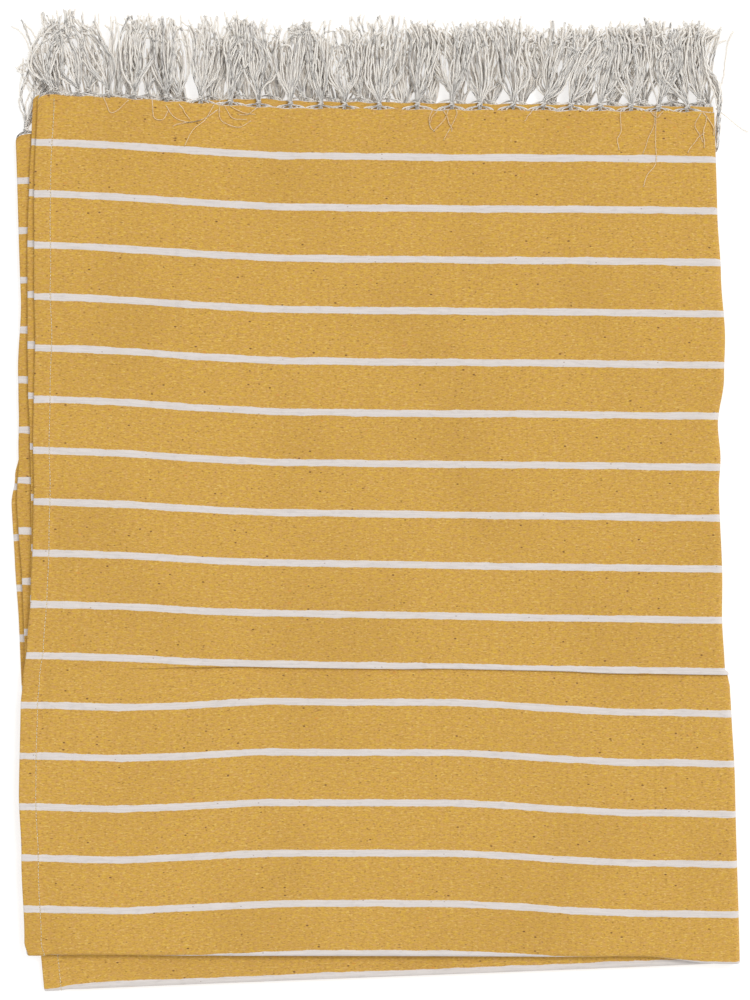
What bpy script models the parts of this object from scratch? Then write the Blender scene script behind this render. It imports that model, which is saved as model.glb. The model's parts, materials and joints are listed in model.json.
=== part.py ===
"""A striped cotton throw with knotted fringes, folded in half twice into a flat stack of four layers.

The woven cloth is folded end to end first, fringe on fringe, and then side to side. Each half of
that second fold is one leaf of doubled cloth. The lower leaf lies on the table and the upper leaf
turns back off it about the side fold, like the cover of a book.

Everything is laid out on the cloth as it looks with the side fold open: x runs across from the
left hem, y up from the fringed end, and z up from the plane between the leaves. An empty then
carries the right-hand half over to lie under the left-hand half.
"""

from math import acos, cos, pi, radians, sin, tan

import bmesh
import bpy
from mathutils import Matrix, Vector

# The cloth, before it is folded (metres)
THROW_WIDTH = 1.300
THROW_LENGTH = 1.620
CLOTH = 0.0010

# The folds
FOLD_OFF_MIDDLE = 0.012
SIDE_FOLD_TILT = radians(1.6)
LEAF_HEIGHT = 0.0066
LEAF_GAP = 0.0008
BACK_STEP = 0.006

# The side hems
HEM_WIDTH = 0.016
HEM_ALLOWANCE = 0.003
THREAD = 0.0005
THREAD_GROOVE = 0.0011

# The knotted fringe
TASSEL_PITCH = 0.0287
TASSEL_LENGTH = 0.075
TASSEL_GAP = 0.0050
KNOT_WIDTH = 0.0062
KNOT_AT = 0.0040
NECK_WIDTH = 0.0040
HEADING = 0.0030

PIECE_GAP = 0.0003
ARC_STEPS = 8
TASSEL_SIDES = 8

# What follows from them
SIDE_FOLD_AT = THROW_WIDTH / 2 - FOLD_OFF_MIDDLE
MID_PLANE = LEAF_HEIGHT + LEAF_GAP / 2
END_FOLD_RADIUS = LEAF_HEIGHT / 2
LEAF_LENGTH = END_FOLD_RADIUS + (THROW_LENGTH - BACK_STEP - pi * END_FOLD_RADIUS) / 2
ROW_HEIGHT = (LEAF_HEIGHT - PIECE_GAP) / 2
HEM_PLIES = END_FOLD_RADIUS - CLOTH - 1.5 * PIECE_GAP
TASSEL_WIDTH = TASSEL_PITCH - TASSEL_GAP
TASSELS = int(THROW_WIDTH / TASSEL_PITCH)
FIRST_TASSEL = (THROW_WIDTH - (TASSELS - 1) * TASSEL_PITCH) / 2

UPPER, LOWER = -1, 1


def fold_x(y):
    """Where the side fold crosses the cloth at that height up from the fringed end."""
    return SIDE_FOLD_AT - y * tan(SIDE_FOLD_TILT)


def leaf_width(side, y):
    """From the side fold to the hem of one leaf."""
    return fold_x(y) if side == UPPER else THROW_WIDTH - fold_x(y)


def clear_scene():
    for old in list(bpy.data.objects):
        bpy.data.objects.remove(old)


def material(name, colour, roughness):
    made = bpy.data.materials.new(name)
    made.use_nodes = True
    shader = made.node_tree.nodes["Principled BSDF"]
    shader.inputs["Base Color"].default_value = (*colour, 1)
    shader.inputs["Roughness"].default_value = roughness
    shader.inputs["Metallic"].default_value = 0
    return made


def empty(name):
    made = bpy.data.objects.new(name, None)
    bpy.context.scene.collection.objects.link(made)
    return made


def add_object(name, mesh, finish, parent):
    made = bpy.data.objects.new(name, mesh)
    mesh.materials.clear()
    mesh.materials.append(finish)
    bpy.context.scene.collection.objects.link(made)
    made.parent = parent
    return made


def loft(name, rings):
    """One closed solid through rings of points, all with the same number of points."""
    bm = bmesh.new()
    rows = [[bm.verts.new(point) for point in ring] for ring in rings]
    count = len(rows[0])
    for row, after in zip(rows, rows[1:]):
        for i in range(count):
            j = (i + 1) % count
            bm.faces.new((row[i], row[j], after[j], after[i]))
    bm.faces.new(rows[0])
    bm.faces.new(rows[-1])
    bmesh.ops.recalc_face_normals(bm, faces=bm.faces)
    mesh = bpy.data.meshes.new(name)
    bm.to_mesh(mesh)
    bm.free()
    return mesh


def wrap(inset):
    """Stations (y, z, out, on_front) down the leaf's front, round its end fold and up its back.

    They lie that far inside the leaf's outer face, and out is that face's normal there.
    """
    radius = END_FOLD_RADIUS - inset
    centre = Vector((0, -LEAF_LENGTH + END_FOLD_RADIUS, LEAF_GAP / 2 + END_FOLD_RADIUS))
    stations = []
    for step in range(ARC_STEPS + 1):
        turn = pi * step / ARC_STEPS
        out = Vector((0, -sin(turn), cos(turn)))
        point = centre + radius * out
        stations.append((point.y, point.z, out, False))
    first, last = stations[0], stations[-1]
    front = [(0, first[1], first[2], True), (first[0] + CLOTH, first[1], first[2], True)]
    back = [(BACK_STEP, last[1], last[2], False)]
    return front + stations + back


def sweep(name, side, inset, section):
    """A solid with that section, swept along the wrap of one leaf.

    section(y, on_front) gives points (across, depth): across from the side fold towards the
    hem, and depth below the outer face.
    """
    rings = []
    for y, z, out, on_front in wrap(inset):
        points = section(y, on_front)
        rings.append(
            [Vector((fold_x(y) + side * u, y, z)) - out * depth for u, depth in points]
        )
    return loft(name, rings)


def cloth_section(side):
    """The cloth's own thickness, with the groove that the stitching sinks into.

    On the front layer the edge at the side fold turns down to the plane between the leaves.
    On the back layer it stops short of that turn.
    """
    full_turn = acos(LEAF_GAP / 2 / MID_PLANE)

    def section(y, on_front):
        width = leaf_width(side, y)
        groove = width - HEM_WIDTH
        outer, inner = [], []
        for step in range(ARC_STEPS + 1):
            turn = full_turn * (1 - step / ARC_STEPS)
            drop = (1 - cos(turn)) * on_front
            start = PIECE_GAP / 2 if on_front else CLOTH + 1.5 * PIECE_GAP
            outer.append((start + MID_PLANE * (1 - sin(turn)), MID_PLANE * drop))
            inside = MID_PLANE - CLOTH
            inner.append((start + MID_PLANE - inside * sin(turn), CLOTH + inside * drop))
        edge = [
            (groove - THREAD_GROOVE / 2, 0),
            (groove - THREAD_GROOVE / 2, CLOTH / 2),
            (groove + THREAD_GROOVE / 2, CLOTH / 2),
            (groove + THREAD_GROOVE / 2, 0),
            (width, 0),
            (width, CLOTH),
        ]
        return outer + edge + inner[::-1]

    return section


def strip_section(side, near, far, thickness):
    """A flat strip along the hem, from near to far in from the leaf's outer edge."""

    def section(y, on_front):
        width = leaf_width(side, y)
        return [
            (width - near, 0),
            (width - far, 0),
            (width - far, thickness),
            (width - near, thickness),
        ]

    return section


def build_cloth(name, side, finish, parent):
    """A leaf of the woven cloth: front layer, end fold and back layer in one sheet."""
    mesh = sweep(name, side, 0, cloth_section(side))
    return add_object(name, mesh, finish, parent)


def build_hem_turning(name, side, finish, parent):
    """The two plies turned in along the cloth's side, between the front and back layers."""
    plies = strip_section(side, PIECE_GAP, HEM_WIDTH + HEM_ALLOWANCE, HEM_PLIES)
    mesh = sweep(name, side, CLOTH + PIECE_GAP, plies)
    return add_object(name, mesh, finish, parent)


def build_hem_stitching(name, side, finish, parent):
    """The sewing thread that closes the hem. It lies in its groove, flush with the surface."""
    sunk = CLOTH / 2 - PIECE_GAP
    near, far = HEM_WIDTH - THREAD / 2, HEM_WIDTH + THREAD / 2
    mesh = sweep(name, side, 0, strip_section(side, near, far, sunk))
    return add_object(name, mesh, finish, parent)


def tassel_mesh():
    """One knotted bundle of warp ends: neck, overhand knot and a skirt that spreads."""
    thick = ROW_HEIGHT
    knot_half = KNOT_AT - PIECE_GAP
    profile = [
        (PIECE_GAP, NECK_WIDTH, 0.55 * thick),
        (KNOT_AT - knot_half / 2, 0.9 * KNOT_WIDTH, 0.9 * thick),
        (KNOT_AT, KNOT_WIDTH, thick),
        (KNOT_AT + knot_half / 2, 0.9 * KNOT_WIDTH, 0.9 * thick),
        (KNOT_AT + knot_half, NECK_WIDTH, 0.6 * thick),
        (0.4 * TASSEL_LENGTH, 0.7 * TASSEL_WIDTH, 0.95 * thick),
        (TASSEL_LENGTH, TASSEL_WIDTH, 0.8 * thick),
    ]
    rings = []
    for y, width, height in profile:
        ring = []
        for side in range(TASSEL_SIDES):
            turn = 2 * pi * (side + 0.5) / TASSEL_SIDES
            reach = cos(pi / TASSEL_SIDES)
            ring.append((width / 2 * cos(turn) / reach, y, height / 2 * sin(turn) / reach))
        rings.append(ring)
    return loft("tassel", rings)


def tassel_places(side):
    """Where each tassel on one side of the side fold leaves the fringed end."""
    places = [FIRST_TASSEL + i * TASSEL_PITCH for i in range(TASSELS)]
    return [x for x in places if (x - fold_x(0)) * side > TASSEL_WIDTH / 2]


def build_tassels(name, side, finish, parent):
    """The front layer's tassels, one object each, all sharing one mesh."""
    mesh = tassel_mesh()
    for number, x in enumerate(tassel_places(side), start=1):
        made = add_object(f"{name}_{number:02d}", mesh, finish, parent)
        made.location = (x, 0, MID_PLANE - ROW_HEIGHT / 2)


def build_fringe(name, side, finish, parent):
    """The back layer's fringe as one flat comb: a heading of crossed warp ends and its tassels."""
    places = tassel_places(side)
    base = BACK_STEP + PIECE_GAP
    tip = BACK_STEP + TASSEL_LENGTH
    outline = [(places[0] - NECK_WIDTH, base), (places[-1] + NECK_WIDTH, base)]
    for x in reversed(places):
        outline += [
            (x + NECK_WIDTH / 2, base + HEADING),
            (x + TASSEL_WIDTH / 2, tip),
            (x - TASSEL_WIDTH / 2, tip),
            (x - NECK_WIDTH / 2, base + HEADING),
        ]
    levels = (LEAF_GAP / 2, LEAF_GAP / 2 + ROW_HEIGHT)
    mesh = loft(name, [[(x, y, z) for x, y in outline] for z in levels])
    return add_object(name, mesh, finish, parent)


def build_leaf(label, side, parent, cloth, cotton, thread):
    build_cloth(f"{label}_cloth_leaf", side, cloth, parent)
    build_hem_turning(f"{label}_hem_turning", side, cloth, parent)
    build_hem_stitching(f"{label}_hem_stitching", side, thread, parent)
    build_tassels(f"{label}_tassel", side, cotton, parent)
    build_fringe(f"{label}_back_fringe", side, cotton, parent)


def side_fold_axis():
    """A point on the side fold's crease, and its direction towards the fringed end."""
    return Vector((fold_x(0), 0, 0)), Vector((-sin(SIDE_FOLD_TILT), cos(SIDE_FOLD_TILT), 0))


def fold_under():
    """The half turn about the side fold that carries the right-hand half of the cloth under."""
    point, direction = side_fold_axis()
    turn = Matrix.Rotation(pi, 4, direction)
    return Matrix.Translation(point) @ turn @ Matrix.Translation(-point)


def centre_over_origin(root):
    """Moves everything so that the stack stands on z = 0 with its box centred on the origin."""
    bpy.context.view_layer.update()
    points = [
        made.matrix_world @ vertex.co
        for made in bpy.context.scene.objects
        if made.type == "MESH"
        for vertex in made.data.vertices
    ]
    low = Vector(map(min, *points))
    high = Vector(map(max, *points))
    root.location -= Vector(((low.x + high.x) / 2, (low.y + high.y) / 2, low.z))
    bpy.context.view_layer.update()


def build_throw():
    cloth = material("mustard_weave", (0.63, 0.37, 0.085), 0.95)
    cotton = material("cream_warp_cotton", (0.60, 0.56, 0.52), 0.9)
    thread = material("sewing_thread", (0.72, 0.55, 0.30), 0.7)

    stack = empty("folded_throw")
    hinge = empty("side_fold")
    hinge.parent = stack
    hinge.location = side_fold_axis()[0]
    upper = empty("upper_half")
    upper.parent = hinge
    upper.location = -hinge.location
    lower = empty("lower_half")
    lower.parent = stack
    lower.matrix_local = fold_under()

    build_leaf("upper", UPPER, upper, cloth, cotton, thread)
    build_leaf("lower", LOWER, lower, cloth, cotton, thread)
    centre_over_origin(stack)


clear_scene()
build_throw()
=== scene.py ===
"""The looks of the folded striped throw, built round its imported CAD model.

The whole cloth is one closed mesh. Each of its points has a place on the flat, uncut throw:
s across from the left hem, and t down from the fell of one fringed end to the fell of the other.
The end fold, the side fold, a pinched tuck and the weave's own unevenness carry (s, t) to where
the cloth lies. The fringes, the hem stitching and the stray threads start from the same places.
Lengths are in metres.
"""

import json
from math import asin, cos, pi, radians, sin

import bpy
import numpy as np
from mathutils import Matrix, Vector
from mathutils.bvhtree import BVHTree


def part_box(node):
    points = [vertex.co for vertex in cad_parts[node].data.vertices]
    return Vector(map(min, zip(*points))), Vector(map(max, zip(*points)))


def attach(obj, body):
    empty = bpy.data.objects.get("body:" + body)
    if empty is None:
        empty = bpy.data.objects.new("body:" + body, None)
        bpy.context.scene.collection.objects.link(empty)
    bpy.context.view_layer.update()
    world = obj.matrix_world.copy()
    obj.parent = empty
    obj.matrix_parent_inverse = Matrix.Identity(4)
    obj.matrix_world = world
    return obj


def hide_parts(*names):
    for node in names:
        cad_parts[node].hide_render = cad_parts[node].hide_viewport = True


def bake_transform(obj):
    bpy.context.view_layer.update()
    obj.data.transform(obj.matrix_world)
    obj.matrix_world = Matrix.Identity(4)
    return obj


# The throw, laid out flat
WIDTH = 1.300
LENGTH = 1.620
STRIPES = 33
FIRST_STRIPE = 0.045
STRIPE_PITCH = (LENGTH - 2 * FIRST_STRIPE) / (STRIPES - 1)
STRIPE_WIDTH = 0.0065
CLOTH = 0.0010
HEM = 0.0030
HEM_WIDTH = 0.0155
CORNER_RADIUS = 0.007
FELL_SCALLOP = 0.0005
NEAR_FELL = 0.035
TASSEL_PITCH = 0.0287
TASSELS = 45
FRONT_TASSELS = 22

# The yarn of the fringes and the threads
YARN_RADIUS = 0.00084
SKIRT = 0.073
SKIRT_STEPS = 32
EDGE_TO_TASSEL = 0.006
KNOT_AT = 0.0046
THREAD_RADIUS = 0.00040
LOOSE_END_RADIUS = 0.00045
STITCH = 0.0034

# How it is folded, as in the CAD model
LEAF_HEIGHT = 0.0066
LEAF_GAP = 0.0008
FOLD_RADIUS = LEAF_HEIGHT / 2 - CLOTH / 2
LEAF_MIDDLE = (LEAF_HEIGHT + LEAF_GAP) / 2
UPPER_LENGTH = 0.803
UPPER_SLANT = 0.0065
LOWER_LENGTH = 0.8012
NEST = 0.0015


def ease(x, start, end):
    """0 before start, 1 after end, and a smooth rise between them."""
    share = np.clip((x - start) / (end - start), 0, 1)
    return share * share * (3 - 2 * share)


def wander(y, points):
    """A smooth line through a few (distance, offset) points, both in millimetres."""
    at = [p[0] / 1000 for p in points]
    value = [p[1] / 1000 for p in points]
    found = np.full_like(y, value[0])
    for a, b, low, high in zip(at, at[1:], value, value[1:]):
        found = found + (high - low) * ease(y, a, b)
    return found


def ripples(x, y, size, seed, count=18):
    """Smooth noise between about -1 and 1, whose bumps are about that size."""
    rng = np.random.default_rng(seed)
    total = 0
    for _ in range(count):
        turn = rng.uniform(0, pi)
        rate = 2 * pi / (size * rng.uniform(0.8, 2.2))
        total = total + np.sin(rate * (x * cos(turn) + y * sin(turn)) + rng.uniform(0, 2 * pi))
    return total / np.sqrt(count)


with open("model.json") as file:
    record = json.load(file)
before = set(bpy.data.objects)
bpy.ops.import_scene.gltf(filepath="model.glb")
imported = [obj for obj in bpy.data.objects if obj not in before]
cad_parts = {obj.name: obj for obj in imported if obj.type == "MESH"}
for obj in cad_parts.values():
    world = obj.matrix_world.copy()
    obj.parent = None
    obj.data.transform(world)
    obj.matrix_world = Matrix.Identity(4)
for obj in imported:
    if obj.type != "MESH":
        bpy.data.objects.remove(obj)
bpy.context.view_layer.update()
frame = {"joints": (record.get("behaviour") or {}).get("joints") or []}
FOLD = frame["joints"][0]
HEM_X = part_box("upper_cloth_leaf")[0].x
FELL_Y = FOLD["pos_m"][1]
MID_Z = FOLD["pos_m"][2]
FOLD_X = FOLD["pos_m"][0] - HEM_X
TILT = asin(-FOLD["axis"][0])
ARC_MATERIAL = (pi / 2 - 1) * (LEAF_MIDDLE + FOLD_RADIUS)

# Where the edges wander from straight: (distance below the fringed end, offset), in millimetres.
# The left hem is on layer 1, the top one, and the back, middle and lower hems are on layers 2, 3 and 4.
SIDE_FOLD_WANDER = [(0, -7), (100, -5.5), (160, -3), (217, 0), (255, -1.5), (300, -8), (330, -6), (360, -8),
                    (441, -6), (480, -6.8), (528, -5), (531, -2), (545, 0), (640, 3), (800, 4.8)]
LEFT_HEM_WANDER = [(0, 0), (84, -2.4), (177, -1.4), (227, 0.4), (273, -0.2), (320, -0.5), (367, 0.9),
                   (414, 0.6), (466, -0.5), (515, -3.7), (546, -7), (570, -8.8), (650, -9.4), (710, -6.3),
                   (790, -2.5), (805, 1.5)]
BACK_HEM_WANDER = [(0, -5), (40, -6), (75, -7.4), (130, -8.5), (227, -7.3), (273, -6.2), (320, -3.8),
                   (367, -2.2), (414, -1.2), (466, -1.5), (515, -4.1), (560, -8.2), (650, -8.8), (710, -5.8),
                   (800, -1)]
MIDDLE_HEM_WANDER = [(0, -1.5), (150, 0), (228, 5.8), (256, 6.5), (300, 8.5), (345, 12.1), (373, 11.5),
                     (410, 10.3), (471, 10.4), (513, 11.4), (600, 12.5), (680, 11.5), (830, 5.5)]
LOWER_HEM_WANDER = [(0, -1.5), (150, 0), (228, 5.8), (256, 6.5), (300, 8.8), (318, 13), (345, 17.5),
                    (400, 16.7), (457, 15.4), (520, 15.5), (600, 14.5), (830, 5.5)]

# How far the cloth laps over itself at the tuck, and where the lap's edge lies past the lower edge of
# a stripe: (across from the hem, distance), in millimetres
TUCK_LAP = [(80, 0), (240, 6.4), (388, 6.5), (575, 3.6)]
TUCK_EDGE = [(110, 6.0), (155, 2.8), (205, 0.3), (340, 0.3), (390, -1.2), (490, -1.2), (550, 0.3)]
TUCK_AT = FIRST_STRIPE + 10 * STRIPE_PITCH + STRIPE_WIDTH / 2

# The rounding of each of the tuck's turns, how far each steps the cloth down, and how far its edge rolls up
TUCK_TURN = 0.0007
TUCK_STEP = 0.0010
TUCK_ROLL = 0.0003

# How far past the side fold the upper leaf's lie of the weave starts and ends its change to the lower one's
TURN_FROM = 0.005
TURN_TO = 0.030

# How far the weave of the lower leaf has slipped down, at most, over its width and beside its hem
LOWER_SLIP = 0.0045
LOWER_HEM_SLIP = 0.0060

# Soft creases: (across, down) of both ends, width and depth, in millimetres
CREASES = [(129, 30, 133, 300, 3.0, 0.40), (133, 300, 126, 440, 3.0, 0.30), (47, 425, 46, 530, 2.5, 0.50),
           (44, 540, 48, 640, 3.0, 0.35), (20.5, 512, 19.5, 640, 3.5, 0.60), (580, 543, 622, 543, 2.2, 0.45),
           (557, 771, 533, 804, 1.8, 0.45), (60, 60, 54, 240, 4.0, 0.20), (400, 610, 520, 660, 6.0, 0.20)]


def end_fold(s):
    """How far down the straight part of a leaf's outer face ends."""
    upper = UPPER_LENGTH - UPPER_SLANT * s / FOLD_X + 0.0065 * ease(s, 0.565, 0.650)
    lower = LOWER_LENGTH + 0.0020 * (1 - ease(s, FOLD_X, WIDTH))
    return upper + (lower - upper) * lower_share(s, LENGTH / 2) - LEAF_HEIGHT / 2


def lower_share(s, t):
    """0 on the upper leaf and 1 on the lower one, past the side fold."""
    fold = FOLD_X + np.tan(TILT) * np.minimum(t, LENGTH - t)
    return ease(s, fold + TURN_FROM, fold + TURN_TO)


def sag(s, t):
    """How far the top layer's weave hangs down from its even place."""
    across = ease(s, 0.005, 0.255)
    lost = ease(t, 0.24, 0.53)
    right = ease(s, 0.30, 0.57)
    past_tuck = ease(t, 0.525, 0.56)
    slip = (0.0020 + 0.0035 * across) * np.clip((t - 0.55) / 0.26, 0, 1)
    slip = slip * (1 - 0.45 * np.exp(-(((s - 0.20) / 0.06) ** 2)))
    slip = slip + 0.0015 * past_tuck * (1 - ease(s, 0.12, 0.20)) + 0.0010 * past_tuck * ease(s, 0.30, 0.40)
    return across * (0.0092 - 0.0042 * lost) + right * (0.0015 * lost - 0.0013 * (1 - lost)) - slip


def back_fell(s):
    """How far beyond the straight top edge the inner layer of the upper leaf ends."""
    return 0.0005 - 0.0100 * ease(s, 0.015, 0.29) + 0.0070 * ease(s, 0.13, 0.22)


def tuck_lap(s):
    return wander(s, TUCK_LAP) * (1 - lower_share(s, TUCK_AT))


def tucked(s, t):
    """(place down the leaf, how deep it is sunk) of a point of the top layer, which laps over itself."""
    lap = tuck_lap(s)
    edge = TUCK_AT + wander(s, TUCK_EDGE)
    line = edge + sag(s, edge) - lap
    past = t + sag(s, np.minimum(t, LENGTH / 2)) - line
    beyond = past - 2 * lap
    folded = np.where(past < lap, past, np.where(past < 2 * lap, 2 * lap - past, beyond))
    two_turns = ease(past, lap - TUCK_TURN, lap + TUCK_TURN) + ease(beyond, -TUCK_TURN, TUCK_TURN)
    under = TUCK_STEP * two_turns
    left = 1 - 0.75 * ease(beyond - lap, 0, 0.009) - 0.25 * ease(beyond - lap, 0.009, 0.030)
    roll = TUCK_ROLL * ease(past, lap - 0.012, lap - 0.002) * (past < lap)
    return line + folded, np.clip(lap / 0.003, 0, 1) * (under * left - roll)


def along(s, t):
    """(place down the leaf's wrap, how far the tuck sinks the cloth there) of a point of the cloth."""
    half = LENGTH / 2
    low = lower_share(s, t)
    front, sunk = tucked(s, t)
    wrap = 2 * end_fold(s) + pi * FOLD_RADIUS
    at_half = half + sag(s, half) - 2 * tuck_lap(s)
    past_half = np.clip((t - half) / half, 0, 1)
    back = at_half + (wrap + back_fell(s) - at_half) * past_half
    upper = np.where(t > half, back, front)
    near_hem = np.exp(-(((WIDTH - s) / 0.022) ** 2))
    lower = t * wrap / LENGTH + LOWER_SLIP * (1 - near_hem) * np.sin(pi * t / LENGTH)
    lower = lower + LOWER_HEM_SLIP * near_hem * np.sin(pi * past_half)
    return upper + (lower - upper) * low, sunk * (1 - low) * (t < half)


def creases(s, t):
    """How deep the soft creases of the top layer are."""
    total = 0
    for at_s, at_t, to_s, to_t, width, depth in np.array(CREASES) / 1000:
        reach = np.hypot(to_s - at_s, to_t - at_t)
        share = ((s - at_s) * (to_s - at_s) + (t - at_t) * (to_t - at_t)) / reach ** 2
        off = ((s - at_s) * (to_t - at_t) - (t - at_t) * (to_s - at_s)) / reach
        fade = ease(share, -0.1, 0.3) * (1 - ease(share, 0.7, 1.1))
        valley = np.exp(-((off / width) ** 2))
        ridge = 0.5 * np.exp(-(((off - 1.8 * width) / width) ** 2))
        total = total + depth * fade * (valley - ridge)
    return total


def stripe(t):
    """1 on a stripe, 0 between stripes."""
    off = np.abs((t - FIRST_STRIPE + STRIPE_PITCH / 2) % STRIPE_PITCH - STRIPE_PITCH / 2)
    return 1 - ease(off, STRIPE_WIDTH / 2 - 0.0004, STRIPE_WIDTH / 2 + 0.0006)


def depths(s, t, sunk):
    """How deep the outer and inner faces of the cloth lie below the leaf's outer face."""
    edge = np.minimum(s, WIDTH - s)
    hem = 1 - ease(edge, HEM_WIDTH + 0.0005, HEM_WIDTH + 0.0035)
    thick = CLOTH + (HEM - CLOTH) * hem
    upper_top = (t < LENGTH / 2) * (s < FOLD_X)
    fell = np.minimum(t, LENGTH - t)
    off_hem = 0.00045 * (1 - hem)
    beside_hem = 0.0004 * np.exp(-(((edge - 0.024) / 0.006) ** 2))
    stitch_line = 0.0004 * np.exp(-(((edge - HEM_WIDTH) / 0.0008) ** 2))
    raised_stripe = 0.00018 * stripe(t)
    towards_fell = 0.0024 * (1 - ease(t, 0, 0.06)) * (1 - 0.92 * hem) * upper_top
    inset = off_hem + beside_hem + stitch_line - raised_stripe + towards_fell
    calm = ease(fell, 0, 0.05) * ease(np.abs(s - FOLD_X), 0.004, 0.05)
    swell = 0.00028 * ripples(s, t, 0.16, 3) + 0.00010 * ripples(2.2 * s, t, 0.05, 4)
    inset = inset + np.where(upper_top, (0.0003 + swell) * calm * (1 - 0.7 * hem), 0)
    pucker = 0.00030 * np.cos(2 * pi * s / 0.0036) * np.exp(-(((s - 0.0165) / 0.005) ** 2))
    inset = inset + np.where(upper_top, creases(s, t) + pucker * (1 - ease(t, 0.010, 0.050)), 0)
    inset = inset + sunk
    round_off = HEM / 2 - np.sqrt(np.maximum(HEM ** 2 / 4 - np.maximum(HEM / 2 - edge, 0) ** 2, 0))
    return inset + round_off, inset + thick - round_off


def place(s, t, lift=0):
    """Where a point of the cloth lies at rest: on its outer and its inner face, as two (n, 3) arrays.

    lift is how far outside those faces to go instead, for a thread that lies on them.
    """
    p, sunk = along(s, t)
    end = end_fold(s)
    edge = np.minimum(s, WIDTH - s)
    cut_off = np.maximum(CORNER_RADIUS - edge, 0)
    corner = CORNER_RADIUS - np.sqrt(np.maximum(CORNER_RADIUS ** 2 - cut_off ** 2, 0))
    fell_in = corner - FELL_SCALLOP * np.cos(2 * pi * (s - first_tassel()) / TASSEL_PITCH)
    p = p + fell_in * (1 - ease(t, 0, NEAR_FELL)) - fell_in * ease(t, LENGTH - NEAR_FELL, LENGTH)
    outer, inner = depths(s, t, sunk)
    turn = np.clip((p - end) / FOLD_RADIUS, 0, pi)
    straight = np.where(p > end + pi * FOLD_RADIUS, p - end - pi * FOLD_RADIUS, np.minimum(p - end, 0))
    found = []
    for depth in (outer - lift, inner + lift):
        radius = LEAF_HEIGHT / 2 - depth
        y = np.where(turn >= pi, -end + straight, -end - straight - radius * np.sin(turn))
        height = LEAF_MIDDLE + radius * np.cos(turn)
        found.append(side_fold(s, y, height, LEAF_MIDDLE + FOLD_RADIUS * np.cos(turn)))
    return found


def side_fold(s, y, height, layer):
    """Bends the doubled cloth about the side fold. layer is the height that sets each layer's turn."""
    below = np.maximum(-y, 0)
    line = FOLD_X - y * np.tan(TILT)
    fold_s = line + ARC_MATERIAL
    off = wander(below, SIDE_FOLD_WANDER)
    nest = NEST * (LEAF_MIDDLE + FOLD_RADIUS - layer) / (2 * FOLD_RADIUS)
    half_arc = pi / 2 * layer
    e = fold_s - s
    theta = np.clip(pi / 2 * (1 - e / half_arc), 0, pi)
    beyond = np.maximum(np.abs(e) - half_arc, 0)
    front = (layer - LEAF_MIDDLE) / (2 * FOLD_RADIUS) + 0.5
    left = wander(below, BACK_HEM_WANDER)
    left = left + (wander(below, LEFT_HEM_WANDER) - left) * front
    inside = nest + layer
    span = line + off - inside - left
    upper_reach = inside - height * np.sin(theta) + beyond * span / (fold_s - half_arc)
    low_hem = wander(below, MIDDLE_HEM_WANDER)
    low_hem = low_hem + (wander(below, LOWER_HEM_WANDER) - low_hem) * front
    hem_reach = WIDTH - line + low_hem + off
    hem_span = hem_reach - inside
    lower_reach = inside - height * np.sin(theta) + beyond * hem_span / (WIDTH - fold_s - half_arc)
    x_upper = line + off - upper_reach
    from_axis = line - FOLD_X - off + lower_reach
    x_lower = FOLD_X - from_axis * np.cos(2 * TILT) - y * np.sin(2 * TILT)
    y_lower = -from_axis * np.sin(2 * TILT) + y * np.cos(2 * TILT)
    low = ease(theta, 0, pi)
    x = x_upper + (x_lower - x_upper) * low
    y = y + (y_lower - y) * low
    z = height * np.cos(theta)
    return np.stack([HEM_X + x, FELL_Y + y, MID_Z + z], axis=-1)


def first_tassel():
    return (WIDTH - (TASSELS - 1) * TASSEL_PITCH) / 2


def graded(stops):
    """Places from (start, step) stops to the last one's start, each stretch divided evenly."""
    places = []
    for (start, step), (end, _) in zip(stops, stops[1:]):
        count = max(1, round((end - start) / step))
        places.extend(np.linspace(start, end, count, endpoint=False))
    return np.array(places + [stops[-1][0]])


# How far in from the edge the hem's columns keep their places, and how near the side fold the even ones end
HEM_COLUMNS = 0.030
TO_FOLD = 0.022
LOWER_TO_FOLD = 0.030


def stretched_columns(columns, stretch):
    """The columns, all but the last, spread by that much except in the hem, which keeps its width."""
    inner = columns[:-1]
    return np.where(inner < HEM_COLUMNS, inner, inner * stretch)


def cloth_rows():
    """Places down the cloth that have a row of points: closest at stripes, the tuck and the end fold."""
    beside_stripe = [0, 0.0018, 0.0032, 0.0040, 0.0050]
    fine = 0.0034
    coarse = 2.4 * fine
    rows = []
    for k in range(STRIPES):
        centre = FIRST_STRIPE + k * STRIPE_PITCH
        rows += [centre + side * step for side in (-1, 1) for step in beside_stripe]
        gap = STRIPE_PITCH - 2 * beside_stripe[-1]
        count = round(gap / (coarse if centre > LENGTH / 2 + 0.03 else fine))
        rows += list(centre + beside_stripe[-1] + gap * np.arange(1, count) / count)
    count = round(FIRST_STRIPE / 0.003)
    rows += list(np.linspace(0, FIRST_STRIPE - beside_stripe[-1], count, endpoint=False))
    rows += [LENGTH]
    tuck_from, tuck_to = 0.512, 0.556
    rows = [t for t in rows if t <= LENGTH and not tuck_from < t < tuck_to]
    rows += list(np.arange(tuck_from, tuck_to, 0.00055))
    rows += list(np.arange(LENGTH / 2 - 0.016, LENGTH / 2 + 0.012, 0.0011))
    t = np.unique(np.round(rows, 5))
    return t[np.concatenate([[True], np.diff(t) > 0.0003])]


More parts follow.
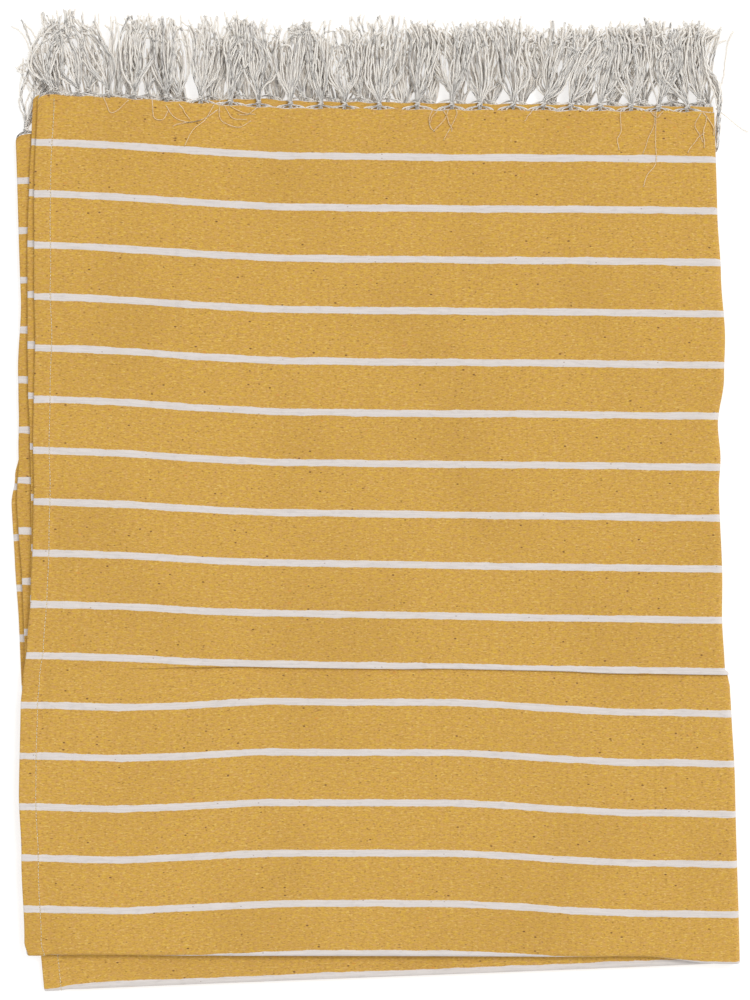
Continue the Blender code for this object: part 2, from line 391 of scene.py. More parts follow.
def row_columns(t, upper_columns, lower_columns):
    """Places across the cloth of the points of the row at t. They lean with the side fold."""
    p, _ = along(np.array([FOLD_X]), np.array([t]))
    end = end_fold(np.array([FOLD_X]))
    wrapped = 2 * end + pi * FOLD_RADIUS
    below = np.where(p < end, p, np.where(p > wrapped - end, wrapped - p, end))
    fold = float(FOLD_X + below[0] * np.tan(TILT) + ARC_MATERIAL)
    turns = [0, 0.0005, 0.0010, 0.0016, 0.0025, 0.0036, 0.0050, 0.0065, 0.0081, 0.0103, 0.0125, 0.016, 0.02]
    near = np.array([-step for step in reversed(turns[1:])] + turns)
    left = stretched_columns(upper_columns, (fold - TO_FOLD) / (FOLD_X - TO_FOLD))
    right = stretched_columns(lower_columns, (WIDTH - fold - TO_FOLD) / (WIDTH - FOLD_X - LOWER_TO_FOLD))
    return np.concatenate([left, fold + near, WIDTH - right[::-1]])


def cloth_grid():
    """(s, t) of the cloth's grid, whose points are closest together at the hems, creases and side fold."""
    hem = [(0, 0.0003), (0.0015, 0.0012), (0.0145, 0.0004), (0.0195, 0.0015), (HEM_COLUMNS, 0.0042)]
    creased = [(0.040, 0.0014), (0.056, 0.0042), (0.118, 0.0014), (0.142, 0.0042), (0.526, 0.0020)]
    lower_hem = [(0, 0.0003), (0.0015, 0.0012), (0.0145, 0.0006), (0.0195, 0.0020), (HEM_COLUMNS, 0.0085)]
    upper_columns = graded(hem + creased + [(FOLD_X - TO_FOLD, 0)])
    lower_columns = graded(lower_hem + [(WIDTH - FOLD_X - LOWER_TO_FOLD, 0)])
    t = cloth_rows()
    s = np.array([row_columns(at, upper_columns, lower_columns) for at in t])
    return s, np.repeat(t[:, None], s.shape[1], axis=1)


def new_mesh(name, points, faces, finish):
    mesh = bpy.data.meshes.new(name)
    mesh.from_pydata(points, [], faces)
    mesh.shade_smooth()
    mesh.materials.append(finish)
    made = bpy.data.objects.new(name, mesh)
    bpy.context.scene.collection.objects.link(made)
    return made


def store(mesh, name, values):
    """Keeps a vector for each vertex, for the material to read."""
    attribute = mesh.attributes.new(name, "FLOAT_VECTOR", "POINT")
    attribute.data.foreach_set("vector", np.asarray(values, np.float32).ravel())


def build_cloth(finish):
    """The whole folded cloth, as one closed shell."""
    s, t = cloth_grid()
    rows, columns = s.shape
    outer, inner = place(s.ravel(), t.ravel())
    points = np.concatenate([outer, inner])
    index = np.arange(rows * columns).reshape(rows, columns)
    a, b, c, d = index[:-1, :-1], index[1:, :-1], index[1:, 1:], index[:-1, 1:]
    top = np.stack([a, b, c, d], axis=-1).reshape(-1, 4)
    under = np.stack([a, d, c, b], axis=-1).reshape(-1, 4) + rows * columns
    rim = np.concatenate([index[0, :], index[1:, -1], index[-1, -2::-1], index[-2:0:-1, 0]])
    following = np.roll(rim, -1)
    edge = np.stack([rim, following, following + rows * columns, rim + rows * columns], axis=-1)
    faces = np.concatenate([top, under, edge])
    made = new_mesh("woven_cloth", points, faces.tolist(), finish)
    rest = np.stack([s.ravel(), t.ravel(), np.zeros(s.size)], axis=-1)
    store(made.data, "flat_place", np.concatenate([rest, rest]))
    return made


# ---------------------------------------------------------------- materials

def add(tree, kind, inputs, out=0, **settings):
    """A shader node with these settings, fed by values or by other nodes' outputs."""
    made = tree.nodes.new(kind)
    for name, value in settings.items():
        setattr(made, name, value)
    for name, value in inputs.items():
        if isinstance(value, bpy.types.NodeSocket):
            tree.links.new(value, made.inputs[name])
        else:
            made.inputs[name].default_value = value
    return made.outputs[out]


def maths(tree, a, b, operation="ADD"):
    """a + b, or what another of Blender's maths operations makes of them."""
    return add(tree, "ShaderNodeMath", {0: a, 1: b}, operation=operation)


def product(tree, a, b):
    return maths(tree, a, b, "MULTIPLY")


def band(tree, value, low, high):
    """0 below low, 1 above high, and smooth between them."""
    limits = {"Value": value, "From Min": low, "From Max": high}
    return add(tree, "ShaderNodeMapRange", limits, interpolation_type="SMOOTHSTEP")


def blend_colour(tree, share, a, b):
    return add(tree, "ShaderNodeMix", {0: share, 6: a, 7: b}, out=2, data_type="RGBA")


def stretched(tree, place_of, rates, seed):
    """The coordinates of a noise whose bumps are 1 / rate metres long along each axis."""
    settings = {0: place_of, 1: rates, 2: (seed, 2.7 * seed, seed)}
    return add(tree, "ShaderNodeVectorMath", settings, operation="MULTIPLY_ADD")


def noise(tree, place_of, rates, seed, detail=2.0):
    where = stretched(tree, place_of, rates, seed)
    return add(tree, "ShaderNodeTexNoise", {"Vector": where, "Scale": 1.0, "Detail": detail})


def flecks(tree, place_of, rates, seed, radius, share):
    """1 inside small spots: one in each noise cell, but only in that share of the cells."""
    where = stretched(tree, place_of, rates, seed)
    cells = add(tree, "ShaderNodeTexVoronoi", {"Vector": where, "Scale": 1.0})
    tint = cells.node.outputs["Color"]
    draw = add(tree, "ShaderNodeSeparateXYZ", {0: tint})
    picked = maths(tree, draw, share, "LESS_THAN")
    near = maths(tree, 1.0, band(tree, cells, 0.6 * radius, radius), "SUBTRACT")
    return product(tree, near, picked)


def new_material(name, roughness, sheen, sheen_roughness=0.45):
    made = bpy.data.materials.new(name)
    made.use_nodes = True
    shader = made.node_tree.nodes["Principled BSDF"]
    shader.inputs["Roughness"].default_value = roughness
    shader.inputs["Sheen Weight"].default_value = sheen
    shader.inputs["Sheen Roughness"].default_value = sheen_roughness
    shader.inputs["Specular IOR Level"].default_value = 0.25
    return made, made.node_tree, shader


def bump(tree, shader, height, distance, strength):
    settings = {"Height": height, "Distance": distance, "Strength": strength}
    tree.links.new(add(tree, "ShaderNodeBump", settings), shader.inputs["Normal"])


MUSTARD = (0.590, 0.340, 0.070, 1)
YELLOW_SLUB = (0.690, 0.440, 0.045, 1)
TAN_FLECK = (0.590, 0.325, 0.120, 1)
ORANGE_FLECK = (0.620, 0.250, 0.050, 1)
PALE_FLECK = (0.800, 0.570, 0.190, 1)
DARK_FLECK = (0.170, 0.080, 0.030, 1)
SHADOW_YARN = (0.370, 0.195, 0.040, 1)
STRIPE = (0.690, 0.640, 0.610, 1)
STRIPE_SHADE = (0.530, 0.490, 0.465, 1)


def heathered_mustard(tree, flat):
    """The mustard ground: mixed weft yarns, with slubs, a fine grain and flecks."""
    tints = [
        (2, (420, 1250, 1), 0.50, 0.28, 1.00, SHADOW_YARN),
        (3, (150, 400, 1), 0.50, 0.66, 0.40, YELLOW_SLUB),
        (4, (190, 430, 1), 0.50, 0.66, 0.50, TAN_FLECK),
        (5, (260, 900, 1), 0.62, 0.69, 0.80, YELLOW_SLUB),
        (10, (60, 800, 1), 0.66, 0.72, 0.45, PALE_FLECK),
        (18, (300, 620, 1), 0.50, 0.70, 0.42, SHADOW_YARN),
        (19, (270, 640, 1), 0.54, 0.72, 0.46, PALE_FLECK),
        (20, (9, 7, 1), 0.42, 0.70, 0.16, SHADOW_YARN),
    ]
    colour = MUSTARD
    for seed, rates, low, high, strength, tint in tints:
        share = band(tree, noise(tree, flat, rates, seed), low, high)
        colour = blend_colour(tree, product(tree, share, strength), colour, tint)
    specks = [
        (6, (190, 420, 1), 0.20, 0.16, 0.60, PALE_FLECK),
        (7, (70, 150, 1), 0.16, 0.10, 0.50, ORANGE_FLECK),
        (8, (170, 260, 1), 0.20, 0.20, 0.50, DARK_FLECK),
        (9, (100, 170, 1), 0.15, 0.16, 0.90, DARK_FLECK),
        (16, (110, 330, 1), 0.20, 0.12, 0.50, DARK_FLECK),
    ]
    for seed, rates, radius, share, strength, tint in specks:
        spots = flecks(tree, flat, rates, seed, radius, share)
        colour = blend_colour(tree, product(tree, spots, strength), colour, tint)
    return colour


def striped(tree, flat, ground):
    """The ground's colour with the cream stripes woven in. Their edges waver a little."""
    down = add(tree, "ShaderNodeSeparateXYZ", {0: flat}, out=1)
    slow = product(tree, maths(tree, noise(tree, flat, (16, 4, 1), 11), 0.5, "SUBTRACT"), 0.0022)
    quick = product(tree, maths(tree, noise(tree, flat, (420, 60, 1), 12), 0.5, "SUBTRACT"), 0.0009)
    down = maths(tree, down, maths(tree, slow, quick))
    off = maths(tree, maths(tree, down, FIRST_STRIPE, "SUBTRACT"), STRIPE_PITCH / 2, "PINGPONG")
    swell = product(tree, maths(tree, noise(tree, flat, (60, 12, 1), 17), 0.5, "SUBTRACT"), 0.0020)
    off = maths(tree, off, swell)
    half = STRIPE_WIDTH / 2
    share = maths(tree, 1.0, band(tree, off, half - 0.0003, half + 0.0003), "SUBTRACT")
    strands = band(tree, noise(tree, flat, (35, 900, 1), 13), 0.40, 0.62)
    mottle = band(tree, noise(tree, flat, (130, 300, 1), 14), 0.52, 0.70)
    cream = blend_colour(tree, product(tree, strands, 0.35), STRIPE, STRIPE_SHADE)
    cream = blend_colour(tree, product(tree, mottle, 0.35), cream, STRIPE_SHADE)
    specks = flecks(tree, flat, (160, 300, 1), 15, 0.16, 0.10)
    cream = blend_colour(tree, product(tree, specks, 0.6), cream, DARK_FLECK)
    return blend_colour(tree, share, ground, cream)


def cloth_material():
    """The woven cloth, drawn in the cloth's own flat places, so that it follows every fold."""
    made, tree, shader = new_material("mustard_weave", 0.88, 0.12)
    flat = add(tree, "ShaderNodeAttribute", {}, out=1, attribute_name="flat_place")
    tree.links.new(striped(tree, flat, heathered_mustard(tree, flat)), shader.inputs["Base Color"])
    weft = noise(tree, flat, (140, 1100, 1), 21, detail=3)
    warp = noise(tree, flat, (1100, 160, 1), 22)
    height = maths(tree, weft, product(tree, warp, 0.5))
    bump(tree, shader, height, 0.0005, 0.55)
    rough = add(tree, "ShaderNodeMapRange", {"Value": weft, "To Min": 0.80, "To Max": 0.95})
    tree.links.new(rough, shader.inputs["Roughness"])
    return made


def yarn_material(name, pale, shade, warm):
    """Cotton yarn: a tone for each yarn, warmer where it leaves the cloth, and two twisted plies."""
    made, tree, shader = new_material(name, 0.9, 0.6)
    shader.inputs["Subsurface Weight"].default_value = 0.8
    shader.inputs["Subsurface Radius"].default_value = (1.0, 1.0, 1.0)
    shader.inputs["Subsurface Scale"].default_value = 0.0030
    lie = add(tree, "ShaderNodeAttribute", {}, out=1, attribute_name="yarn_lie")
    tone = add(tree, "ShaderNodeAttribute", {}, out=1, attribute_name="yarn_tone")
    own = add(tree, "ShaderNodeSeparateXYZ", {0: tone})
    colour = blend_colour(tree, own, pale, shade)
    fluff = noise(tree, lie, (500, 1, 1), 31, detail=3)
    colour = blend_colour(tree, product(tree, band(tree, fluff, 0.45, 0.75), 0.25), colour, shade)
    from_cloth = own.node.outputs[1]
    near = maths(tree, 1.0, band(tree, from_cloth, 0.001, 0.008), "SUBTRACT")
    colour = blend_colour(tree, product(tree, near, 0.75), colour, warm)
    tree.links.new(colour, shader.inputs["Base Color"])
    parts = add(tree, "ShaderNodeSeparateXYZ", {0: lie}).node.outputs
    phase = product(tree, parts[0], 2 * pi / 0.0026)
    sine = product(tree, maths(tree, phase, 0.0, "SINE"), parts[1])
    cosine = product(tree, maths(tree, phase, 0.0, "COSINE"), parts[2])
    twist = maths(tree, maths(tree, sine, cosine), 0.0, "ABSOLUTE")
    bump(tree, shader, maths(tree, twist, product(tree, fluff, 0.8)), 0.0002, 0.4)
    return made


# ---------------------------------------------------------------- yarns and threads

def tube_shell(paths, radii, tone, sides):
    """(points, faces, lie, tones) of closed tubes along paths, an array of (tubes, points, 3)."""
    count, steps = radii.shape
    ahead = np.gradient(paths, axis=1)
    ahead /= np.linalg.norm(ahead, axis=2, keepdims=True)
    side = np.cross(ahead, (0.21, 0.13, 0.97))
    side /= np.linalg.norm(side, axis=2, keepdims=True)
    up = np.cross(ahead, side)
    turn = 2 * pi * np.arange(sides) / sides
    ring = np.cos(turn)[:, None] * side[:, :, None] + np.sin(turn)[:, None] * up[:, :, None]
    points = paths[:, :, None] + radii[:, :, None, None] * ring
    index = np.arange(count * steps * sides).reshape(count, steps, sides)
    here, there = index[:, :-1], index[:, 1:]
    quads = np.stack([here, np.roll(here, -1, 2), np.roll(there, -1, 2), there], axis=-1).reshape(-1, 4)
    caps = np.concatenate([index[:, 0, ::-1], index[:, -1]])
    gaps = np.linalg.norm(np.diff(paths, axis=1), axis=2)
    length = np.concatenate([np.zeros((count, 1)), gaps.cumsum(axis=1)], axis=1)[:, :, None]
    full = np.ones((count, steps, sides))
    lie = np.stack([full * length, full * np.cos(turn), full * np.sin(turn)], axis=-1)
    tones = np.stack([full * tone[:, None, None], full * length, full], axis=-1)
    return points.reshape(-1, 3), [quads, caps], lie.reshape(-1, 3), tones.reshape(-1, 3)


def tubes(name, sets, finish, sides=4):
    """One piece made of every tube in sets, a list of (paths, radii, tone)."""
    shells = [tube_shell(*each, sides) for each in sets]
    starts = np.cumsum([0] + [len(shell[0]) for shell in shells])
    faces = []
    for shell, start in zip(shells, starts):
        for group in shell[1]:
            faces += (group + start).tolist()
    made = new_mesh(name, np.concatenate([shell[0] for shell in shells]), faces, finish)
    store(made.data, "yarn_lie", np.concatenate([shell[2] for shell in shells]))
    store(made.data, "yarn_tone", np.concatenate([shell[3] for shell in shells]))
    return made


def curve_through(points, count):
    """A smooth path of that many places through a few points."""
    p = np.asarray(points, float)
    p = np.vstack([2 * p[0] - p[1], p, 2 * p[-1] - p[-2]])
    u = np.linspace(0, len(points) - 1, count)
    k = np.minimum(u.astype(int), len(points) - 2)
    f = (u - k)[:, None]
    a, b, c, d = p[k], p[k + 1], p[k + 2], p[k + 3]
    return b + 0.5 * f * (c - a + f * (2 * a - 5 * b + 4 * c - d + f * (3 * b - 3 * c + d - a)))


def fringe_axes(s):
    """(outward, across) at the fringed end of the leaf that s belongs to."""
    if s < FOLD_X:
        return np.array([0, 1, 0]), np.array([1, 0, 0])
    return np.array([-sin(2 * TILT), cos(2 * TILT), 0]), np.array([-cos(2 * TILT), -sin(2 * TILT), 0])


def gathered_ends(rng, s, t, yarns, out, wide):
    """(middle, stack, (u, v, w)) of a tassel's warp ends, from the fell to the knot.

    middle is the point of the fell behind the knot, stack is each end's place in the bundle, from -1 to 1,
    and u, v and w are its path across, outward and up from middle.
    """
    reach = 0.47 * TASSEL_PITCH
    arcs = np.array([-1, -0.80, -0.58, 0.56, 0.78, 1]) + rng.normal(0, 0.05, 6)
    starts = s + reach * np.concatenate([arcs, rng.uniform(-0.13, 0.13, yarns - 6)])
    starts = np.clip(starts, 0.0012, WIDTH - 0.0012)
    fell = np.mean(place(starts, np.full(yarns, t)), axis=0)
    middle = np.mean(place(np.array([s]), np.array([t])), axis=0)[0]
    across = (fell - middle) @ wide
    ahead = (fell - middle) @ out
    stack = rng.uniform(-1, 1, yarns)[:, None]
    turn = np.linspace(0, pi / 2, 7)[None, :-1]
    share = turn / (pi / 2)
    u = across[:, None] * np.cos(turn) ** 1.15
    v = ahead[:, None] - 0.0006 + (KNOT_AT - 0.0012 - ahead[:, None]) * np.sin(turn)
    w = (fell[:, 2] - middle[2])[:, None] * (1 - share) + 0.0006 * stack * share
    return middle, stack, (u, v, w)


def skirt_angles(rng, gone, far, centre, lock):
    """(angle, start) of the yarns down a skirt: how far each turns from straight out, and its own phase."""
    yarns = len(lock)
    tight = rng.uniform(0.009, 0.019)
    spread = centre * rng.uniform(0.40, 0.62) * np.exp(-(((gone - tight) / 0.0120) ** 2))
    swing = rng.normal(0, 0.20, 5)[lock][:, None]
    swing = swing * np.sin(2 * pi * gone / 0.050 + rng.uniform(0, 6, 5)[lock][:, None])
    stray = rng.normal(0, 0.10, (yarns, 1)) * ease(far, 0.12, 0.6)
    wave = (rng.uniform(0.0065, 0.0105, 5)[lock] * rng.uniform(0.92, 1.08, yarns))[:, None]
    start = (rng.uniform(0, 6, 5)[lock] + rng.normal(0, 1.0, yarns))[:, None]
    size = rng.uniform(0.10, 0.30, (yarns, 1)) * (0.75 + 0.4 * np.sin(gone / 0.007 + 3 * start))
    crimp = size * np.sin(2 * pi * gone / wave + start) * ease(gone, 0.002, 0.014)
    hooked = np.where(rng.random((yarns, 1)) < 0.18, 1.4, 0.40) * rng.normal(0, 1, (yarns, 1))
    angle = spread + swing * ease(gone, 0, 0.02) + stray + crimp + hooked * ease(far, 0.70, 1.0)
    return angle, start


def tassel(rng, s, t, yarns, lean, curl, height, droop):
    """(paths, radii, tone) of one tassel: its warp ends run to a knot, then hang free in a few wavy locks.

    s is its middle and t the fell's end. lean and curl turn the whole skirt. height is where the
    skirt lies, and droop is how far its tips come down.
    """
    out, wide = fringe_axes(s)
    middle, stack, ends = gathered_ends(rng, s, t, yarns, out, wide)
    lock = rng.integers(0, 5, yarns)
    centre = (np.array([-1, -0.5, 0, 0.5, 1])[lock] + rng.normal(0, 0.18, yarns))[:, None]
    neck_u = 0.0010 * centre * np.array([0.7, 0.9, 1.2]) + rng.normal(0, 0.0003, (yarns, 1))
    neck_v = np.full((yarns, 1), KNOT_AT) + np.array([0, 0.0012, 0.0028])
    neck_w = 0.0008 * stack * np.ones(3)

    length = SKIRT * rng.uniform(0.96, 1.07) * (1 - 0.16 * rng.random((yarns, 1)) ** 2)
    step = length / SKIRT_STEPS
    gone = step * np.arange(1, SKIRT_STEPS + 1)
    far = gone / length
    angle, start = skirt_angles(rng, gone, far, centre, lock)
    angle = angle + lean + curl * far ** 1.5
    skirt_u = neck_u[:, -1:] + np.cumsum(step * np.sin(angle), axis=1)
    skirt_v = neck_v[:, -1:] + np.cumsum(step * np.cos(angle), axis=1)
    rise = (height - middle[2]) * ease(gone, 0, 0.020) - droop * far ** 1.5
    flutter = 0.0006 * np.sin(2 * pi * gone / 0.016 + 2 * start)
    skirt_w = rise + (0.0012 * stack + flutter) * (0.6 + 0.4 * far)

    stretches = zip(ends, (neck_u, neck_v, neck_w), (skirt_u, skirt_v, skirt_w))
    u, v, w = [np.concatenate(along_yarn, axis=1)[:, :, None] for along_yarn in stretches]
    paths = middle + u * wide + v * out + w * np.array([0, 0, 1])
    paths[:, :, 2] = np.maximum(paths[:, :, 2], YARN_RADIUS)
    radii = YARN_RADIUS * rng.uniform(0.85, 1.12, (yarns, 1)) * np.ones(u.shape[1])
    above_skirt = u.shape[1] - SKIRT_STEPS
    radii[:, :above_skirt] *= 0.76
    radii[:, above_skirt:] *= 1 + 0.22 * far ** 2
    return paths, radii, np.clip(rng.normal(0.35, 0.28, yarns), 0, 1)


def knot(rng, s, t):
    """(paths, radii, tone) of the turns of yarn that bind a tassel's neck."""
    out, wide = fringe_axes(s)
    middle = np.mean(place(np.array([s]), np.array([t])), axis=0)[0]
    turn = np.linspace(-0.6 * pi, 1.5 * pi, 16)
    paths = []
    for at, slope in ((-0.0007, 0.45), (0.0006, -0.40)):
        u = 0.0021 * rng.uniform(0.9, 1.15) * np.cos(turn)
        w = 0.0014 * np.sin(turn)
        v = KNOT_AT + at + slope * u + 0.0002 * turn
        paths.append(middle + u[:, None] * wide + v[:, None] * out + w[:, None] * np.array([0, 0, 1]))
    paths = np.array(paths)
    paths[:, :, 2] = np.maximum(paths[:, :, 2], YARN_RADIUS)
    return paths, np.full(paths.shape[:2], 0.85 * YARN_RADIUS), rng.uniform(0.0, 0.3, len(paths))


# How each tassel of the front row leans to the right and curls, in degrees, and how far the knots of
# the rows have wandered along the cloth: (across from the hem, offset), in millimetres
FRONT_LEANS = [-36, -10, -12, 0, -3, 5, 0, -3, -5, -8, -3, 3, 5, 2, -6, -5, 34, 25, 10, -5, 8, -24]
FRONT_CURLS = {0: 105, 2: -35, 16: -20, 21: 25}
KNOT_WANDER = [(0, -4), (60, -9), (120, -10.5), (230, -9.5), (320, -13), (385, -2.5), (470, -0.5),
               (530, -5.5), (620, -7)]
SECOND_KNOT_WANDER = [(0, 5), (300, 2), (600, 8)]
LOWER_KNOT_WANDER = [(1180, 0), (1285, 9)]


def fringe_row(name, numbers, t, seed, height, droop, yarns, knots_at, leans=None):
    """One row of the fringe as one piece, with its knots.

    numbers are its tassels, counted from the left hem, t is the end of the cloth, height is where the
    skirts lie, droop is how far their tips come down, and yarns is how many each tassel has.
    """
    rng = np.random.default_rng(seed)
    skirts, knots = [], []
    for k in numbers:
        s = first_tassel() + k * TASSEL_PITCH
        s = s + float(wander(np.array([s]), knots_at)[0]) + rng.normal(0, 0.0012)
        s = min(max(s, EDGE_TO_TASSEL), WIDTH - EDGE_TO_TASSEL)
        lean, curl = rng.normal(0, 0.15), rng.normal(0, 0.28)
        if leans:
            lean = radians(leans[k]) + 0.2 * lean
            curl = radians(FRONT_CURLS.get(k, 0)) + 0.5 * curl
        lean = lean - 0.3 * float(ease(s, WIDTH - 0.050, WIDTH - 0.010))
        skirts.append(tassel(rng, s, t, yarns, lean, curl, height, droop))
        knots.append(knot(rng, s, t))
    return tubes(name, skirts + knots, cotton)


def stitching(name, at, finish):
    """The lock stitches that hold one hem down, on both faces of the cloth."""
    starts = np.arange(0.004, LENGTH - 0.006, STITCH)
    share = np.linspace(0, 1, 5)
    t = starts[:, None] + 0.85 * STITCH * share
    s = at + 0.0002 * np.sin(90 * t) + 0.00008 * np.sin(610 * t)
    lift = THREAD_RADIUS * (0.8 - 1.8 * (2 * share - 1) ** 4) + 0 * t
    faces = place(s.ravel(), t.ravel(), lift.ravel())
    paths = np.concatenate([face.reshape(t.shape + (3,)) for face in faces])
    radii = np.full(paths.shape[:2], THREAD_RADIUS)
    return tubes(name, [(paths, radii, np.full(len(paths), 0.2))], finish)


# The loose ends that lie on the top layer: (right of the hem corner, down from the fringed end), millimetres
LOOSE_ENDS = [
    [(61, 1), (69, 16), (85, 4)],
    [(107, 4), (108, 19), (116, 22), (122, 14)],
    [(120, 9), (128, 20), (141, 24), (152, 22)],
    [(132, 7), (142, 22)],
    [(165, 6), (157, 21), (145, 31), (138, 46)],
    [(168, 12), (152, 22), (135, 25), (126, 28)],
    [(169, 1), (170, 19), (178, 26), (189, 28), (199, 22)],
    [(172, 4), (181, 19), (195, 21)],
    [(176, 6), (190, 14), (203, 16)],
    [(205, 9), (196, 16), (186, 16)],
    [(368, 8), (365, 22), (370, 30)],
    [(373, 9), (366, 20), (366, 26)],
    [(384, 8), (378, 20), (369, 30)],
    [(389, 7), (391, 14), (384, 27), (379, 38)],
    [(378, 9), (384, 22), (387, 30)],
    [(461, 9), (454, 19)],
    [(543, 5), (544, 25), (541, 35), (542, 45)],
    [(576, 8), (574, 23), (568, 38), (565, 48)],
    [(577, 6), (576, 22), (576, 37), (577, 57), (569, 68), (565, 79)],
    [(570, 6), (577, 14), (583, 8)],
    [(619, 9), (613, 19), (616, 28), (621, 37)],
    [(622, 27), (614, 35), (606, 47)],
    [(620, 9), (629, 20), (631, 30)],
    [(624, 12), (621, 28), (622, 42)],
]


def loose_ends(name, cloth, finish):
    """Thin threads that lie on the top layer near the fell."""
    rng = np.random.default_rng(41)
    points = [vertex.co for vertex in cloth.data.vertices]
    surface = BVHTree.FromPolygons(points, [face.vertices for face in cloth.data.polygons])
    paths = []
    for route in LOOSE_ENDS:
        flat = curve_through(np.array(route) / 1000, 26)
        swing = 0.0004 * np.sin(np.linspace(0, rng.uniform(6, 14), len(flat)) + rng.uniform(0, 6))
        x, y = HEM_X + flat[:, 0] + swing, FELL_Y - flat[:, 1]
        hits = [surface.ray_cast(Vector((a, b, 1.0)), Vector((0, 0, -1)))[0] for a, b in zip(x, y)]
        z = np.array([hit.z if hit else np.nan for hit in hits])
        known = ~np.isnan(z)
        z = np.interp(np.arange(len(z)), np.flatnonzero(known), z[known])
        arch = 0.0008 * np.sin(np.linspace(0, pi, len(z))) ** 2 * rng.uniform(0, 1)
        paths.append(np.stack([x, y, z + 0.0003 + arch], axis=-1))
    paths = np.array(paths)
    radii = np.full(paths.shape[:2], LOOSE_END_RADIUS)
    return tubes(name, [(paths, radii, rng.uniform(0, 0.6, len(paths)))], finish, sides=5)


# The tassel that has slipped over the side fold: (right of the hem corner, above the fringed end, height), mm
SLIPPED_TASSEL = [(620, 60, 6.5), (621, 44, 7.5), (622, 30, 8.5), (628, 23, 9), (634, 11, 8.5), (636, -2, 7),
                  (635.5, -13, 5.5), (635, -28, 3.8), (633.5, -45, 2)]
SLIPPED_YARN = [(633, -4, 6), (645, -12.4, 3.5), (655.5, -20.5, 1.8), (664, -25, 0.6)]


def slipped_tassel(name, finish):
    rng = np.random.default_rng(51)
    count = 46
    middle = curve_through(SLIPPED_TASSEL, count) / 1000
    share = np.linspace(0, 1, count)
    paths = []
    for _ in range(15):
        angle, far = rng.uniform(0, 2 * pi), 0.0026 * np.sqrt(rng.random())
        size = far * (0.6 + 0.9 * np.sin(pi * np.minimum(share * 1.5, 1)) + 0.4 * share)
        twist = angle + 2.0 * share + 0.5 * np.sin(rng.uniform(9, 15) * share + angle)
        offset = np.stack([np.cos(twist), 0.7 * np.cos(twist), 0.8 * np.sin(twist)], axis=-1)
        crimp = 0.0005 * np.sin(rng.uniform(70, 95) * share + angle)[:, None] * np.array([1, 0.4, 0.3])
        cut = np.linspace(0, rng.uniform(0.84, 1.0), count)
        body = middle + size[:, None] * offset + crimp
        paths.append(np.stack([np.interp(cut, share, body[:, i]) for i in range(3)], axis=-1))
    single = curve_through(SLIPPED_YARN, count) / 1000
    paths = np.array(paths + [single])
    paths[:, :, 0] += HEM_X
    paths[:, :, 1] += FELL_Y
    paths[:, :, 2] = np.maximum(paths[:, :, 2], YARN_RADIUS)
    radii = np.full(paths.shape[:2], YARN_RADIUS)
    return tubes(name, [(paths, radii, rng.uniform(0, 0.8, len(paths)))], finish, sides=5)


# ---------------------------------------------------------------- stage, light and camera

def build_stage():
    floor = bpy.data.meshes.new("floor")
    half = 15.0
    sides = [(-half, -half), (half, -half), (half, half), (-half, half)]
    floor.from_pydata([(x, y, -0.0006) for x, y in sides], [], [(0, 1, 2, 3)])
    made = bpy.data.objects.new("floor", floor)
    bpy.context.scene.collection.objects.link(made)
    paper = bpy.data.materials.new("pale_floor")
    paper.use_nodes = True
    shader = paper.node_tree.nodes["Principled BSDF"]
    shader.inputs["Base Color"].default_value = (0.5, 0.5, 0.5, 1)
    shader.inputs["Roughness"].default_value = 0.9
    shader.inputs["Emission Color"].default_value = (1, 1, 1, 1)
    shader.inputs["Emission Strength"].default_value = 0.62
    floor.materials.append(paper)


def build_lights():
    world = bpy.data.worlds.new("studio")
    world.use_nodes = True
    world.node_tree.nodes["Background"].inputs["Color"].default_value = (1, 1, 1, 1)
    world.node_tree.nodes["Background"].inputs["Strength"].default_value = 0.80
    bpy.context.scene.world = world
    lamp = bpy.data.lights.new("soft_key", "SUN")
    lamp.angle = radians(22)
    lamp.energy = 1.35
    made = bpy.data.objects.new("soft_key", lamp)
    made.rotation_euler = Vector((-0.48, -0.50, -0.75)).to_track_quat("-Z", "Y").to_euler()
    bpy.context.scene.collection.objects.link(made)


def build_camera():
    data = bpy.data.cameras.new("camera")
    data.lens = 90
    data.sensor_width = 36
    made = bpy.data.objects.new("camera", data)
    bpy.context.scene.collection.objects.link(made)
    view_height = 0.933
    made.location = (0.0006, 0.0059, view_height * data.lens / data.sensor_width + 0.01)
    made.rotation_euler = (0, 0, radians(0.73))
    bpy.context.scene.camera = made


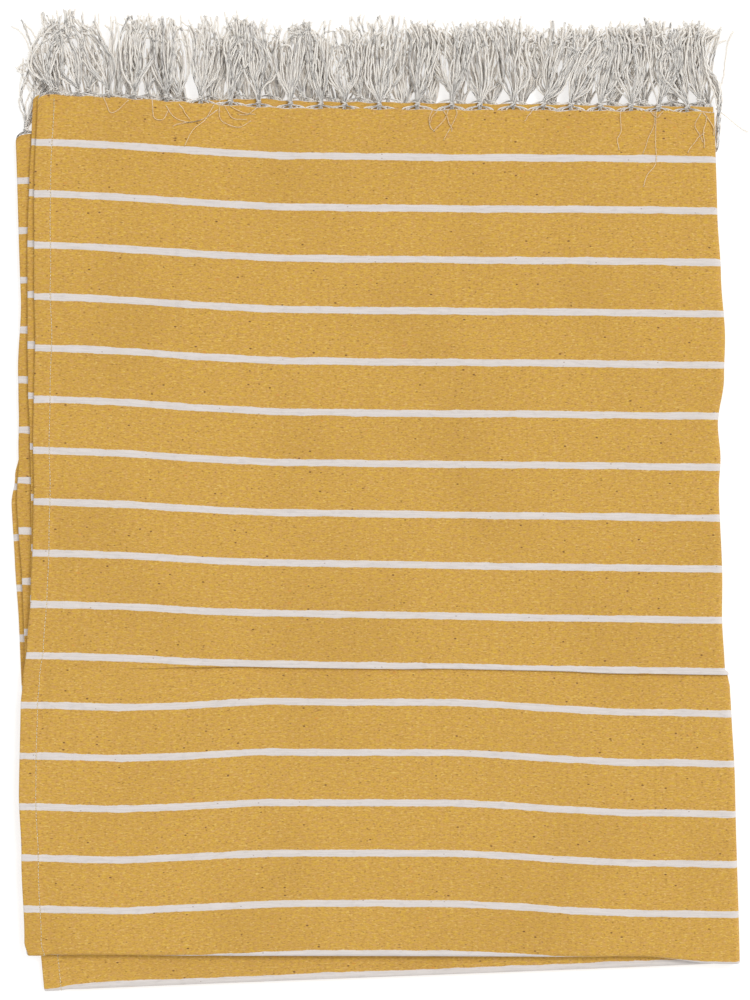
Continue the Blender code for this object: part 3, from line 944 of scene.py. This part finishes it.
CREAM = [(0.85, 0.79, 0.71, 1), (0.78, 0.72, 0.65, 1), (0.92, 0.81, 0.67, 1)]
PEACH = [(0.76, 0.50, 0.26, 1), (0.64, 0.40, 0.18, 1), (0.80, 0.60, 0.38, 1)]
TAN_THREAD = [(0.84, 0.62, 0.34, 1), (0.72, 0.48, 0.22, 1), (0.84, 0.62, 0.34, 1)]
cotton = yarn_material("cream_warp_cotton", *CREAM)
peach = yarn_material("loose_warp_ends", *PEACH)
thread = yarn_material("sewing_thread", *TAN_THREAD)

cloth = build_cloth(cloth_material())
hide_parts("upper_cloth_leaf", "lower_cloth_leaf", "upper_hem_turning", "lower_hem_turning")

upper_numbers = range(FRONT_TASSELS)
lower_numbers = range(FRONT_TASSELS, TASSELS)
top = fringe_row("top_fringe_yarns", upper_numbers, 0, 61, 0.0112, 0.0016, 18, KNOT_WANDER, FRONT_LEANS)
second = fringe_row("second_fringe_yarns", upper_numbers, LENGTH, 62, 0.0082, 0.0008, 14, SECOND_KNOT_WANDER)
third = fringe_row("third_fringe_yarns", lower_numbers, LENGTH, 63, 0.0052, 0.0006, 13, LOWER_KNOT_WANDER)
bottom = fringe_row("bottom_fringe_yarns", lower_numbers, 0, 64, 0.0022, 0.0, 13, LOWER_KNOT_WANDER)
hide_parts(*[f"upper_tassel_{k:02d}" for k in range(1, FRONT_TASSELS + 1)])
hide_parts("upper_back_fringe")
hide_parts("lower_back_fringe")
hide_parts(*[f"lower_tassel_{k:02d}" for k in range(1, TASSELS - FRONT_TASSELS + 1)])

left_stitches = stitching("left_hem_stitches", HEM_WIDTH, thread)
right_stitches = stitching("right_hem_stitches", WIDTH - HEM_WIDTH, thread)
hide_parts("upper_hem_stitching")
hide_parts("lower_hem_stitching")
strays = loose_ends("loose_warp_ends", cloth, peach)
slipped = slipped_tassel("slipped_fold_tassel", cotton)

for piece in (top, second, left_stitches, strays):
    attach(piece, "upper_half")
for piece in (third, bottom, right_stitches, slipped):
    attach(piece, "lower_half")
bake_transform(cloth)

build_stage()
build_lights()
build_camera()
bpy.context.scene.view_settings.view_transform = "Standard"
